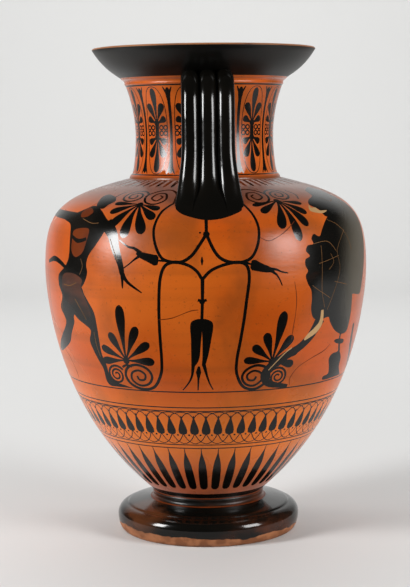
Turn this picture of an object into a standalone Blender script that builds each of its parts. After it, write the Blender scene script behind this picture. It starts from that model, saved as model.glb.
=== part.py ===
"""Neck amphora: a turned, hollow clay storage jar with a pair of triple-reed handles.

The pot is one fired piece.  Its outside is one turned solid, the handles are
joined to it, and the hollow is cut last, so that the wall is clean inside.
Lengths are metres, +Z is up, and the origin is the centre of the standing face.
The handles stand on the Y axis.
"""
import math

import bmesh
import bpy
from mathutils import Matrix, Vector

# Heights of the parts of the pot, one on the other from the ground up
FOOT_HEIGHT = 0.0270
COLLAR_HEIGHT = 0.0075
BODY_HEIGHT = 0.2670
NECK_HEIGHT = 0.0785
MOUTH_HEIGHT = 0.0300

# Thickness of the fired clay
WALL = 0.0055
FLOOR = 0.0065
FLOOR_EDGE_SHARE = 0.55
CUT_CLEARANCE = 0.0110

# Foot, a thick disc with a rounded edge and a shallow step on its top
STANDING_RADIUS = 0.0722
FOOT_RADIUS = 0.0780
FOOT_WIDEST_HEIGHT = 0.0132
FOOT_STEP_RADIUS = 0.0690
FOOT_STEP_HEIGHT = 0.0225
FOOT_STEP_RISE = 0.0012
STANDING_WIDTH = 0.0100
RECESS_DEPTH = 0.0230
RECESS_TOP_RADIUS = 0.0260

# Collar, the short stem between foot and body
COLLAR_RADIUS = 0.0476
COLLAR_FLARE = 0.0022

# Body, widest below the shoulder
BODY_RADIUS = 0.1365
BODY_BASE_RADIUS = 0.0467
SHOULDER_HEIGHT = 0.0755
BASE_SLOPE = math.radians(41.0)
BASE_PULL = 0.1180
BELLY_PULL = 0.0510
SHOULDER_SLOPE = math.radians(13.9)
SHOULDER_PULL = 0.0612
SHOULDER_TOP_RADIUS = 0.0640

# Neck, a concave tube with a raised fillet where it stands on the shoulder
NECK_BASE_RADIUS = 0.0618
NECK_WAIST_RADIUS = 0.0582
NECK_TOP_RADIUS = 0.0664
NECK_WAIST_HEIGHT = 0.0350
FILLET_HEIGHT = 0.0046
FILLET_BULGE = 0.0008

# Mouth, a bowl-shaped lip with a flat top
MOUTH_RADIUS = 0.0940
MOUTH_BASE_LEAN = math.radians(6.0)
MOUTH_BASE_PULL = 0.0074
MOUTH_RIM_LEAN = math.radians(31.5)
MOUTH_RIM_PULL = 0.0260
RIM_ROUND = 0.0014

# Handles, each three round reeds laid side by side
REED_RADIUS = 0.0068
REED_PITCH = 0.0131
FINGER_GAP = 0.0325
HANDLE_JOINT_DROP = 0.0030
HANDLE_CROWN_RISE = 0.0100
HANDLE_BEND_DROP = 0.0280
HANDLE_ROOT_INSET = 0.0195
ROOT_LEAN = math.radians(13.0)
ROOT_SWELL = 0.0024
ROOT_SPLAY = 0.0032
ROOT_PAD_WIDTH = 0.0530
ROOT_PAD_LENGTH = 0.0250
ROOT_PAD_RISE = 0.0052
ROOT_PAD_OUTSET = 0.0020

# Shape of the handle's centre line, as shares of its reach and of its fall
ARCH_SHARE = 0.55
BEND_SHARE = 0.40
ROOT_SHARE = 0.35

# Fineness of the facets and of the curves
TURNING_STEPS = 48
REED_POINTS = 9
REED_SIDES_LEVEL = 3
PAD_SIDES = 16
MOUTH_POINTS = 6
NECK_POINTS = 6
FILLET_POINTS = 3
SHOULDER_POINTS = 9
BODY_POINTS = 10
FOOT_POINTS = 3
UNDERSIDE_POINTS = 4
MOUTH_INSIDE_POINTS = 5
NECK_INSIDE_POINTS = 4
SHOULDER_INSIDE_POINTS = 7
BODY_INSIDE_POINTS = 8
SHOULDER_SAMPLES = 200
MERGE_DISTANCE = 0.00002

# Colour of the fired clay, linear
CLAY_COLOUR = (0.48, 0.15, 0.04, 1.0)
CLAY_ROUGHNESS = 0.45

# Levels that follow from the heights
COLLAR_TOP = FOOT_HEIGHT + COLLAR_HEIGHT
WIDEST_LEVEL = COLLAR_TOP + BODY_HEIGHT - SHOULDER_HEIGHT
SHOULDER_TOP = COLLAR_TOP + BODY_HEIGHT
WAIST_LEVEL = SHOULDER_TOP + NECK_WAIST_HEIGHT
NECK_TOP = SHOULDER_TOP + NECK_HEIGHT
RIM_LEVEL = NECK_TOP + MOUTH_HEIGHT


def clear_scene():
    for old in list(bpy.data.objects):
        bpy.data.objects.remove(old, do_unlink=True)


def new_collection(name):
    group = bpy.data.collections.new(name)
    bpy.context.scene.collection.children.link(group)
    return group


def bezier(start, start_pull, end_pull, end, count):
    """Points on one cubic curve through (radius, height) pairs, ends included."""
    points = []
    for index in range(count):
        t = index / (count - 1)
        s = 1.0 - t
        weights = (s ** 3, 3 * s * s * t, 3 * s * t * t, t ** 3)
        corners = (start, start_pull, end_pull, end)
        radius = sum(w * c[0] for w, c in zip(weights, corners))
        height = sum(w * c[1] for w, c in zip(weights, corners))
        points.append((radius, height))
    return points


def mouth_curve(count):
    """Underside of the mouth, from the rim down to the neck."""
    rim = (MOUTH_RADIUS, RIM_LEVEL - RIM_ROUND)
    rim_pull = (rim[0] - MOUTH_RIM_PULL * math.sin(MOUTH_RIM_LEAN),
                rim[1] - MOUTH_RIM_PULL * math.cos(MOUTH_RIM_LEAN))
    base_pull = (NECK_TOP_RADIUS + MOUTH_BASE_PULL * math.sin(MOUTH_BASE_LEAN),
                 NECK_TOP + MOUTH_BASE_PULL * math.cos(MOUTH_BASE_LEAN))
    return bezier(rim, rim_pull, base_pull, (NECK_TOP_RADIUS, NECK_TOP), count)


def neck_radius(height):
    """Radius of the neck's outside at a height, narrowest at the waist."""
    if height >= WAIST_LEVEL:
        share = (height - WAIST_LEVEL) / (NECK_TOP - WAIST_LEVEL)
        return NECK_WAIST_RADIUS + (NECK_TOP_RADIUS - NECK_WAIST_RADIUS) * share * share
    share = (WAIST_LEVEL - height) / (WAIST_LEVEL - SHOULDER_TOP)
    return NECK_WAIST_RADIUS + (NECK_BASE_RADIUS - NECK_WAIST_RADIUS) * share * share


def neck_curve(count, bottom):
    """Outside of the neck, from its top down to a level."""
    heights = [NECK_TOP + (bottom - NECK_TOP) * index / (count - 1) for index in range(count)]
    return [(neck_radius(height), height) for height in heights]


def fillet_curve(count):
    """Half-round ring at the foot of the neck, top to bottom."""
    top = SHOULDER_TOP + FILLET_HEIGHT
    inner = neck_radius(top)
    points = []
    for index in range(1, count + 1):
        turn = math.pi * index / (count + 1)
        sink = (SHOULDER_TOP_RADIUS - inner) * index / (count + 1)
        height = top - FILLET_HEIGHT * index / (count + 1)
        points.append((inner + sink + FILLET_BULGE * math.sin(turn), height))
    return points


def shoulder_curve(count):
    """Outside of the shoulder, from the neck out and down to the widest circle."""
    top_pull = (SHOULDER_TOP_RADIUS + SHOULDER_PULL * math.cos(SHOULDER_SLOPE),
                SHOULDER_TOP - SHOULDER_PULL * math.sin(SHOULDER_SLOPE))
    belly_pull = (BODY_RADIUS, WIDEST_LEVEL + BELLY_PULL)
    top = (SHOULDER_TOP_RADIUS, SHOULDER_TOP)
    widest = (BODY_RADIUS, WIDEST_LEVEL)
    return bezier(top, top_pull, belly_pull, widest, count)


def lower_curve(count):
    """Outside of the body, from its widest circle down to the collar."""
    widest = (BODY_RADIUS, WIDEST_LEVEL)
    base_pull = (BODY_BASE_RADIUS + BASE_PULL * math.cos(BASE_SLOPE),
                 COLLAR_TOP + BASE_PULL * math.sin(BASE_SLOPE))
    return bezier(widest, widest, base_pull, (BODY_BASE_RADIUS, COLLAR_TOP), count)


def foot_curve(count):
    """Collar, top of the foot with its step, and the rounded edge down to the ground."""
    points = [(COLLAR_RADIUS, COLLAR_TOP - COLLAR_FLARE),
              (COLLAR_RADIUS, FOOT_HEIGHT + COLLAR_FLARE),
              (COLLAR_RADIUS + COLLAR_FLARE, FOOT_HEIGHT),
              (FOOT_STEP_RADIUS - FOOT_STEP_RISE, FOOT_STEP_HEIGHT + FOOT_STEP_RISE),
              (FOOT_STEP_RADIUS, FOOT_STEP_HEIGHT)]
    upper_rise = FOOT_STEP_HEIGHT - FOOT_WIDEST_HEIGHT
    upper_reach = FOOT_RADIUS - FOOT_STEP_RADIUS
    for index in range(1, count):
        turn = 0.5 * math.pi * index / count
        points.append((FOOT_STEP_RADIUS + upper_reach * math.sin(turn),
                       FOOT_WIDEST_HEIGHT + upper_rise * math.cos(turn)))
    for index in range(count + 1):
        turn = 0.5 * math.pi * index / count
        points.append((STANDING_RADIUS + (FOOT_RADIUS - STANDING_RADIUS) * math.cos(turn),
                       FOOT_WIDEST_HEIGHT * (1.0 - math.sin(turn))))
    return points


def underside_curve(count):
    """Standing ring and the recess under the foot, from the ring in to the axis."""
    ring_inside = STANDING_RADIUS - STANDING_WIDTH
    points = []
    for index in range(count + 1):
        turn = 0.5 * math.pi * index / count
        points.append((RECESS_TOP_RADIUS + (ring_inside - RECESS_TOP_RADIUS) * math.cos(turn),
                       RECESS_DEPTH * math.sin(turn)))
    points.append((0.0, RECESS_DEPTH))
    return points


def inward(points, distance):
    """The same curve moved into the clay, for a curve that runs down its outer side."""
    moved = []
    for index, (radius, height) in enumerate(points):
        before = points[max(index - 1, 0)]
        after = points[min(index + 1, len(points) - 1)]
        run = Vector((after[0] - before[0], after[1] - before[1])).normalized()
        moved.append((radius + run.y * distance, height - run.x * distance))
    return moved


def outside_outline():
    """Full outline of the unhollowed pot, from the axis at the rim to the axis below."""
    outline = [(0.0, RIM_LEVEL), (MOUTH_RADIUS - RIM_ROUND, RIM_LEVEL)]
    outline += mouth_curve(MOUTH_POINTS)
    outline += neck_curve(NECK_POINTS, SHOULDER_TOP + FILLET_HEIGHT)[1:]
    outline += fillet_curve(FILLET_POINTS)
    outline += shoulder_curve(SHOULDER_POINTS)
    outline += lower_curve(BODY_POINTS)[1:]
    outline += foot_curve(FOOT_POINTS)
    outline += underside_curve(UNDERSIDE_POINTS)
    return outline


def hollow_outline():
    """Outline of the space inside, one wall thickness within the outside."""
    over_rim = RIM_LEVEL + CUT_CLEARANCE
    mouth = inward(mouth_curve(MOUTH_INSIDE_POINTS), WALL)
    neck = inward(neck_curve(NECK_INSIDE_POINTS, SHOULDER_TOP), WALL)
    shoulder = inward(shoulder_curve(SHOULDER_INSIDE_POINTS), WALL)
    lower = inward(lower_curve(BODY_INSIDE_POINTS), WALL)
    floor_level = RECESS_DEPTH + FLOOR
    base = lower[-1]
    floor_edge = (FLOOR_EDGE_SHARE * base[0], 0.5 * (base[1] + floor_level))
    floor = [floor_edge, (0.0, floor_level)]
    top = [(0.0, over_rim), (mouth[0][0], over_rim)]
    return top + mouth[:-1] + neck + shoulder + lower[1:] + floor


def turned(name, outline, group):
    """An object whose outline, given in the XZ plane, is turned about Z."""
    mesh = bpy.data.meshes.new(name)
    corners = [(radius, 0.0, height) for radius, height in outline]
    edges = [(index, index + 1) for index in range(len(corners) - 1)]
    mesh.from_pydata(corners, edges, [])
    piece = bpy.data.objects.new(name, mesh)
    group.objects.link(piece)
    screw = piece.modifiers.new("turn", "SCREW")
    screw.axis = "Z"
    screw.steps = TURNING_STEPS
    screw.render_steps = TURNING_STEPS
    screw.use_merge_vertices = True
    screw.merge_threshold = MERGE_DISTANCE
    screw.use_smooth_shade = True
    return piece


def shoulder_point(radius):
    """Height and slope of the shoulder at a distance from the axis."""
    points = shoulder_curve(SHOULDER_SAMPLES)
    index = min(range(1, len(points) - 1), key=lambda i: abs(points[i][0] - radius))
    before, after = points[index - 1], points[index + 1]
    slope = math.atan2(before[1] - after[1], after[0] - before[0])
    return points[index][1], slope


def handle_path():
    """Centre line of a reed as (distance from the axis, height), neck to shoulder."""
    joint_level = NECK_TOP - HANDLE_JOINT_DROP
    joint = (neck_radius(joint_level) - WALL, joint_level)
    reach = NECK_WAIST_RADIUS + FINGER_GAP + REED_RADIUS
    bend = (reach, joint_level - HANDLE_BEND_DROP)
    crown = HANDLE_CROWN_RISE + joint_level
    arch_pull = (joint[0] + ARCH_SHARE * (reach - joint[0]), crown)
    arch = bezier(joint, arch_pull, (reach, crown), bend, REED_POINTS)
    root_radius = BODY_RADIUS - HANDLE_ROOT_INSET
    root_level = shoulder_point(root_radius)[0] - WALL
    fall = bend[1] - root_level
    bend_pull = (reach, bend[1] - BEND_SHARE * fall)
    root_pull = (root_radius - ROOT_SHARE * fall * math.sin(ROOT_LEAN),
                 root_level + ROOT_SHARE * fall * math.cos(ROOT_LEAN))
    leg = bezier(bend, bend_pull, root_pull, (root_radius, root_level), REED_POINTS)
    return arch, leg


def root_share(index, count):
    """Nought at the top of a reed's leg, rising to one at its root."""
    share = max(0.0, 2.0 * index / (count - 1) - 1.0)
    return share * share


def reed(name, side, row, group):
    """One reed of a handle as a tube; row is -1, 0 or 1 across the handle."""
    arch, leg = handle_path()
    spots = [(radius, height, 0.0) for radius, height in arch[:-1]]
    spots += [(radius, height, root_share(i, len(leg))) for i, (radius, height) in enumerate(leg)]
    curve = bpy.data.curves.new(name, "CURVE")
    curve.dimensions = "3D"
    curve.bevel_depth = REED_RADIUS
    curve.bevel_resolution = REED_SIDES_LEVEL
    curve.use_fill_caps = True
    spline = curve.splines.new("POLY")
    spline.points.add(len(spots) - 1)
    for point, (radius, height, share) in zip(spline.points, spots):
        across = row * (REED_PITCH + ROOT_SPLAY * share)
        point.co = (across, side * radius, height, 1.0)
        point.radius = 1.0 + share * ROOT_SWELL / REED_RADIUS
    tube = bpy.data.objects.new(name, curve)
    group.objects.link(tube)
    return as_mesh(tube, group)


def as_mesh(curve_object, group):
    """A closed mesh object in place of a curve object."""
    name = curve_object.name
    bpy.context.view_layer.update()
    evaluated = curve_object.evaluated_get(bpy.context.evaluated_depsgraph_get())
    mesh = bpy.data.meshes.new_from_object(evaluated)
    work = bmesh.new()
    work.from_mesh(mesh)
    bmesh.ops.remove_doubles(work, verts=work.verts, dist=MERGE_DISTANCE)
    bmesh.ops.recalc_face_normals(work, faces=work.faces)
    work.to_mesh(mesh)
    work.free()
    piece = bpy.data.objects.new(name + "_solid", mesh)
    piece.matrix_world = curve_object.matrix_world
    group.objects.link(piece)
    bpy.data.objects.remove(curve_object, do_unlink=True)
    return piece


def root_pad(name, side, group):
    """The clay smoothed out round a handle's root, a flat lens lying on the shoulder."""
    root_radius = BODY_RADIUS - HANDLE_ROOT_INSET + ROOT_PAD_OUTSET
    level, slope = shoulder_point(root_radius)
    mesh = bpy.data.meshes.new(name)
    work = bmesh.new()
    bmesh.ops.create_uvsphere(work, u_segments=PAD_SIDES, v_segments=PAD_SIDES // 2, radius=1.0)
    size = Matrix.Diagonal((0.5 * ROOT_PAD_WIDTH, 0.5 * ROOT_PAD_LENGTH, ROOT_PAD_RISE, 1.0))
    lean = Matrix.Rotation(-side * slope, 4, "X")
    place = Matrix.Translation((0.0, side * root_radius, level))
    bmesh.ops.transform(work, matrix=place @ lean @ size, verts=work.verts)
    work.to_mesh(mesh)
    work.free()
    piece = bpy.data.objects.new(name, mesh)
    group.objects.link(piece)
    return piece


def combine(piece, tool, operation):
    """Join or cut a piece with a tool, which is then only a guide."""
    step = piece.modifiers.new(operation.lower() + "_" + tool.name, "BOOLEAN")
    step.operation = operation
    step.solver = "EXACT"
    step.object = tool
    tool.hide_render = True
    tool.display_type = "WIRE"


def clay_material():
    """Iron-rich potter's clay, fired orange."""
    material = bpy.data.materials.new("fired_clay")
    material.use_nodes = True
    shader = material.node_tree.nodes["Principled BSDF"]
    shader.inputs["Base Color"].default_value = CLAY_COLOUR
    shader.inputs["Roughness"].default_value = CLAY_ROUGHNESS
    shader.inputs["Metallic"].default_value = 0.0
    return material


def build():
    clear_scene()
    pieces = new_collection("neck_amphora")
    tools = new_collection("cutters")
    amphora = turned("amphora", outside_outline(), pieces)
    amphora.data.materials.append(clay_material())
    for side, word in ((-1.0, "front"), (1.0, "back")):
        combine(amphora, root_pad("pad_" + word, side, tools), "UNION")
        for row in (-1, 0, 1):
            combine(amphora, reed(f"reed_{word}_{row + 2}", side, row, tools), "UNION")
    combine(amphora, turned("hollow", hollow_outline(), tools), "DIFFERENCE")


build()
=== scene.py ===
"""Looks of a painted neck amphora, laid out as an add-on.

The pot is one fired piece, so it is one object: a turned wall, inside and foot,
with two handles of three reeds.  The painted ornament is flat: each painted shape
is an outline on the unrolled wall, and the wall's own faces are cut along it.
Places on the wall are (degrees from the front handle, height in millimetres).
"""
import math
from bisect import bisect_right

import bmesh
import bpy
from mathutils import Matrix, Vector, geometry


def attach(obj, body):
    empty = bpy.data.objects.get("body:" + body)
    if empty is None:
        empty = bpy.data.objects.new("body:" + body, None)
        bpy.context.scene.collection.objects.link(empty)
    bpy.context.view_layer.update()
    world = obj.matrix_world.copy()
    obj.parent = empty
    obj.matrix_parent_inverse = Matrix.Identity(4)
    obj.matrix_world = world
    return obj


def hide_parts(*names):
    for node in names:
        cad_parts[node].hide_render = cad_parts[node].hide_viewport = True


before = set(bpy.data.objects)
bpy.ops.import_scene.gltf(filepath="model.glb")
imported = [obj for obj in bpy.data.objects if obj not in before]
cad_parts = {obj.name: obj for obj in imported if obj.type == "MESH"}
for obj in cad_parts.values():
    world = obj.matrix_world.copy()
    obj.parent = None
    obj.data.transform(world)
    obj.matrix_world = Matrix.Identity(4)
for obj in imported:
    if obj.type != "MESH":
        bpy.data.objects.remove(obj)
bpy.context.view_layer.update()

bl_info = {
    "name": "Neck amphora",
    "version": (1, 0, 0),
    "blender": (4, 5, 0),
    "location": "View3D > Sidebar > Amphora",
    "description": "A painted neck amphora with triple-reed handles, and its studio stage",
    "category": "Object",
}

# Levels of the pot, from the ground up
COLLAR_TOP = 0.0345
WIDEST_LEVEL = 0.2260
SHOULDER_TOP = 0.3015
FILLET_TOP = 0.3061
WAIST_LEVEL = 0.3365
NECK_TOP = 0.3800
RIM_LEVEL = 0.4100
RIM_OUTER_ROUND = 0.0014
RIM_INNER_ROUND = 0.0012
FLOOR_TOP = 0.0295

# The hollow: points on its curves, least drop from one to the next, and shares of the floor's curve
INSIDE_MOUTH = 12
INSIDE_NECK = 12
INSIDE_SHOULDER = 22
INSIDE_LOWER = 30
LEAST_DROP = 0.0004
FLOOR_CURVE = ((0.70, 0.45), (0.35, 0.08), (0, 0))

# Corners of the outside's curves as (radius, height), and radii of the neck
SHOULDER_LINE = ((0.0640, 0.3015), (0.12341, 0.2868), (0.1365, 0.2770), (0.1365, 0.2260))
LOWER_LINE = ((0.1365, 0.2260), (0.1365, 0.2260), (0.13740, 0.11010), (0.0467, 0.0345))
MOUTH_LINE = ((0.0940, 0.4086), (0.08042, 0.38643), (0.06717, 0.38735), (0.0664, 0.3800))
NECK_TOP_RADIUS = 0.0664
NECK_WAIST_RADIUS = 0.0582
NECK_BASE_RADIUS = 0.0618
FILLET_BULGE = 0.0008
RIDGE_LEVELS = (0.3842, 0.3803)
RIDGE_RISE = 0.0006
RIDGE_WIDTH = 0.0008

# Facets: columns round the pot, the longest steps down it, points on the outside's curves, the seam's
# turn in degrees, the first corner well below the mouth, and tolerances
COLUMNS = 180
ROW_STEP = 0.0050
RIDGE_STEP = 0.0004
FILLET_STEP = 0.0005
MOUTH_POINTS = 60
NECK_STEPS = 120
FILLET_STEPS = 12
SHOULDER_POINTS = 160
LOWER_POINTS = 240
SEAM = 138.0
BELOW_MOUTH = 115
MERGE = 0.00001
ON_WALL = 0.00005
NORMAL_REACH = 0.0003

# Cutting along painted outlines: units in which a turn and a length come out about alike, and tolerances
TURN_UNITS = 100
LENGTH_UNITS = 1000
CLEAR_OF_PAINT = 1.2
CUT_TOLERANCE = 0.0002
OFF_BAND = 0.0005

# Steps of a curve between two of its spots, or in a turn of a scroll, and a petal's widths along its length
BLOB_STEPS = 4
PETAL_STEPS = 9
SCROLL_STEPS = 18
PETAL = (0.18, 0.18, 0.20, 0.24, 0.30, 0.38, 0.49, 0.62, 0.76, 0.89, 0.98, 1.0, 0.93, 0.72, 0.14)

# Painted ornament: middle of the neck's in millimetres, first turns in degrees, and counts round the pot
NECK_MIDDLE = 341.7
NECK_START = -27.5
NECK_COUNT = 13
TONGUE_COUNT = 76
CHAIN_START = -0.6
CHAIN_COUNT = 69
RAY_START = -3.2
RAY_COUNT = 42

# Flat layout for baked colours: rows of each zone
LAYOUT = "OFBake"
RIM_ROWS = (0.990, 0.982)
WALL_ROWS = (0.975, 0.400)
FOOT_ROWS = (0.385, 0.310)
INSIDE_ROWS = (0.295, 0.215)
HANDLE_ROWS = (0.020, 0.200)
HANDLE_STARTS = {-1: 0.02, 1: 0.52}
HANDLE_SPAN = 0.46
HUB_SPAN = 0.01

# Order of the pot's materials
CLAY, BLACK, BARE, SCRATCH, WHITE, RED, INSIDE, THIN, WORN, MOUTH, GLOSS = range(11)


def bezier(corners, count):
    """Points on one cubic curve, ends included."""
    points = []
    for index in range(count):
        t = index / (count - 1)
        s = 1.0 - t
        weights = (s ** 3, 3 * s * s * t, 3 * s * t * t, t ** 3)
        points.append(tuple(sum(w * c[i] for w, c in zip(weights, corners)) for i in (0, 1)))
    return points


def neck_radius(height):
    """Radius of the neck's outside, narrowest at the waist."""
    if height >= WAIST_LEVEL:
        share = (height - WAIST_LEVEL) / (NECK_TOP - WAIST_LEVEL)
        return NECK_WAIST_RADIUS + (NECK_TOP_RADIUS - NECK_WAIST_RADIUS) * share * share
    share = (WAIST_LEVEL - height) / (WAIST_LEVEL - SHOULDER_TOP)
    return NECK_WAIST_RADIUS + (NECK_BASE_RADIUS - NECK_WAIST_RADIUS) * share * share


def ridge(height):
    """Two fine raised lines where the mouth was joined to the neck."""
    return sum(RIDGE_RISE * math.exp(-((height - level) / RIDGE_WIDTH) ** 2) for level in RIDGE_LEVELS)


def fillet_line():
    """Half-round ring at the foot of the neck, ends left out."""
    inner = neck_radius(FILLET_TOP)
    points = []
    for index in range(1, FILLET_STEPS):
        share = index / FILLET_STEPS
        sink = (SHOULDER_LINE[0][0] - inner) * share
        radius = inner + sink + FILLET_BULGE * math.sin(math.pi * share)
        points.append((radius, FILLET_TOP + (SHOULDER_TOP - FILLET_TOP) * share))
    return points


def wall_line():
    """Outside of the pot from the rim's edge down to the collar."""
    line = [(radius + ridge(height), height) for radius, height in bezier(MOUTH_LINE, MOUTH_POINTS)]
    for index in range(1, NECK_STEPS + 1):
        height = NECK_TOP + (FILLET_TOP - NECK_TOP) * index / NECK_STEPS
        line.append((neck_radius(height) + ridge(height), height))
    line += fillet_line()
    line += bezier(SHOULDER_LINE, SHOULDER_POINTS)
    line += bezier(LOWER_LINE, LOWER_POINTS)[1:]
    return line


def run_lengths(corners):
    """How far each corner lies along a line."""
    lengths = [0.0]
    for before, after in zip(corners, corners[1:]):
        lengths.append(lengths[-1] + math.dist(before, after))
    return lengths


class Line:
    """A line of (radius, height) corners that runs downward, with its running length."""

    def __init__(self, corners):
        self.corners = corners
        self.lengths = run_lengths(corners)
        self.falls = [-height for _, height in corners]

    def at(self, length):
        """Corner at a running length."""
        index = min(max(bisect_right(self.lengths, length), 1), len(self.corners) - 1)
        before, after = self.corners[index - 1], self.corners[index]
        run = self.lengths[index] - self.lengths[index - 1]
        t = (length - self.lengths[index - 1]) / run if run else 0.0
        return (before[0] + (after[0] - before[0]) * t, before[1] + (after[1] - before[1]) * t)

    def length_of(self, height):
        """Running length at a height."""
        index = min(max(bisect_right(self.falls, -height), 1), len(self.corners) - 1)
        before, after = self.corners[index - 1], self.corners[index]
        t = (before[1] - height) / max(before[1] - after[1], 1e-9)
        return self.lengths[index - 1] + (self.lengths[index] - self.lengths[index - 1]) * t


WALL = Line(wall_line())


def on_wall(turn, length):
    """Point in space for an angle in radians and a length down the wall."""
    radius, height = WALL.at(length)
    return (radius * math.sin(turn), -radius * math.cos(turn), height)


def lathe(work, corners, material, rows, clay_inside=True):
    """Turn a line of (radius, height) corners about Z and add it to the mesh.

    Rows are its first and last row on the flat layout.  The line runs down the
    outside of the clay, or else up over the rim and down the hollow.
    """
    part = bmesh.new()
    order = part.verts.layers.int.new("order")
    spots = []
    for index, (radius, height) in enumerate(corners):
        spots.append(part.verts.new((0.0, radius, height)))
        spots[-1][order] = index
    edges = [part.edges.new((a, b)) for a, b in zip(spots, spots[1:])]
    bmesh.ops.spin(part, geom=spots + edges, axis=(0, 0, 1), cent=(0, 0, 0),
                   angle=math.tau, steps=COLUMNS, use_merge=True)
    bmesh.ops.remove_doubles(part, verts=part.verts, dist=MERGE)
    lengths = run_lengths(corners)
    layout = part.loops.layers.uv.new(LAYOUT)
    face = next(iter(part.faces))
    face.normal_update()
    first = min(vert[order] for vert in face.verts)
    fall = corners[first][1] - corners[first + 1][1]
    widen = corners[first + 1][0] - corners[first][0]
    centre = face.calc_center_median()
    outward = (centre.x * face.normal.x + centre.y * face.normal.y) / math.hypot(centre.x, centre.y)
    if (outward * fall + face.normal.z * widen > 0) != clay_inside:
        bmesh.ops.reverse_faces(part, faces=part.faces)
    for face in part.faces:
        face.material_index = material
        centre = face.calc_center_median()
        middle = turn_share(centre)
        for loop in face.loops:
            share = middle if math.hypot(loop.vert.co.x, loop.vert.co.y) < MERGE else turn_share(loop.vert.co)
            share += 1.0 if middle - share > 0.5 else -1.0 if share - middle > 0.5 else 0.0
            down = lengths[loop.vert[order]] / lengths[-1]
            loop[layout].uv = (share, rows[0] + (rows[1] - rows[0]) * down)
    part.verts.layers.int.remove(order)
    add_part(work, part)


def turn_share(spot):
    """How far a point lies round the pot from the seam, from nought to one."""
    turn = math.atan2(spot[0], -spot[1]) - math.radians(SEAM)
    return (turn / (math.tau)) % 1.0


def wall_row(length):
    """Row on the flat layout for a length down the wall."""
    return WALL_ROWS[0] + (WALL_ROWS[1] - WALL_ROWS[0]) * length / WALL.lengths[-1]


def lathe_slices(work, line, slices, rows, clay_inside=True):
    """Turn one line in slices of (first corner, last corner, material)."""
    lengths = run_lengths(line)
    for first, last, material in slices:
        own = [rows[0] + (rows[1] - rows[0]) * lengths[i] / lengths[-1] for i in (first, last)]
        lathe(work, line[first:last + 1], material, own, clay_inside)


def add_part(work, part):
    """Move one bmesh into another."""
    mesh = bpy.data.meshes.new("part")
    part.to_mesh(mesh)
    part.free()
    work.from_mesh(mesh)
    bpy.data.meshes.remove(mesh)


def wall_strip(work, top, bottom, material, row_step=ROW_STEP):
    """A plain band of the wall between two heights in millimetres."""
    start = WALL.length_of(top / 1000)
    end = WALL.length_of(bottom / 1000)
    count = max(1, math.ceil((end - start) / row_step))
    corners = [WALL.at(start + (end - start) * index / count) for index in range(count + 1)]
    lathe(work, corners, material, (wall_row(start), wall_row(end)))


class Painting:
    """Painted shapes in drawing order, as outlines of (radians, length down the wall)."""

    def __init__(self):
        self.shapes = []
        self.turn = 0.0
        self.side = 1.0

    def facing(self, turn, side=1.0):
        """Turn what is drawn next about the pot, mirrored where side is -1."""
        self.turn = turn
        self.side = side
        return self

    def place(self, spot):
        """Turn in radians and length down the wall of (degrees, millimetres)."""
        degrees, height = spot
        return (math.radians(self.turn + self.side * degrees), WALL.length_of(height / 1000))

    def shift(self, place, right, up):
        """A place moved by millimetres along the wall."""
        radius = WALL.at(place[1])[0]
        return (place[0] + 0.001 * self.side * right / radius, place[1] - 0.001 * up)

    def fill(self, places, material):
        """A filled shape with straight edges between the places."""
        area = sum(a[0] * b[1] - b[0] * a[1] for a, b in zip(places, places[1:] + places[:1]))
        if abs(area) < 1e-9:
            return
        self.shapes.append((places if area < 0 else places[::-1], material))

    def blob(self, spots, material=BLACK):
        """A filled shape with a smooth outline through the spots."""
        self.fill(smooth([self.place(s) for s in spots], BLOB_STEPS, True), material)

    def stroke(self, places, widths, material):
        """A line through the places; widths in millimetres are spread along it."""
        sides = []
        for index, (turn, length) in enumerate(places):
            before = places[max(index - 1, 0)]
            after = places[min(index + 1, len(places) - 1)]
            radius = WALL.at(length)[0]
            run = Vector(((after[0] - before[0]) * radius, after[1] - before[1]))
            if run.length < 1e-9:
                continue
            run.normalize()
            half = 0.0005 * spread(widths, index / (len(places) - 1))
            across = (-run.y * half / radius, run.x * half)
            sides.append(((turn + across[0], length + across[1]), (turn - across[0], length - across[1])))
        for (a, b), (c, d) in zip(sides, sides[1:]):
            self.fill([a, b, d, c], material)

    def line(self, spots, widths, material=BLACK, steps=5):
        """A smooth line through the spots."""
        self.stroke(smooth([self.place(s) for s in spots], steps), widths, material)

    def petal(self, root, end, width):
        """A drop-shaped leaf from its root to its rounded end."""
        a, b = self.place(root), self.place(end)
        middle = ((a[0] + b[0]) / 2, (a[1] + b[1]) / 2)
        self.stroke(smooth([a, middle, b], PETAL_STEPS), [width * share for share in PETAL], BLACK)

    def scroll(self, centre, sizes, start, turns, width):
        """A spiral round a centre; sizes are its first and last radius in millimetres."""
        middle = self.place(centre)
        count = max(8, int(abs(turns) * SCROLL_STEPS))
        places = []
        for index in range(count + 1):
            t = index / count
            angle = math.radians(start) + math.tau * turns * t
            size = sizes[0] + (sizes[1] - sizes[0]) * t
            places.append(self.shift(middle, size * math.cos(angle), size * math.sin(angle)))
        self.stroke(places, width, BLACK)

    def dot(self, centre, size):
        """A round dot; size is its radius in millimetres."""
        middle = self.place(centre)
        turns = [math.pi * i / 5 for i in range(10)]
        self.fill([self.shift(middle, size * math.cos(t), size * math.sin(t)) for t in turns], BLACK)


def spread(widths, share):
    """The width at a share of a line's run; a single number stays as it is."""
    if isinstance(widths, (int, float)):
        return widths
    spot = share * (len(widths) - 1)
    index = min(int(spot), len(widths) - 2)
    return widths[index] + (widths[index + 1] - widths[index]) * (spot - index)


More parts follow.
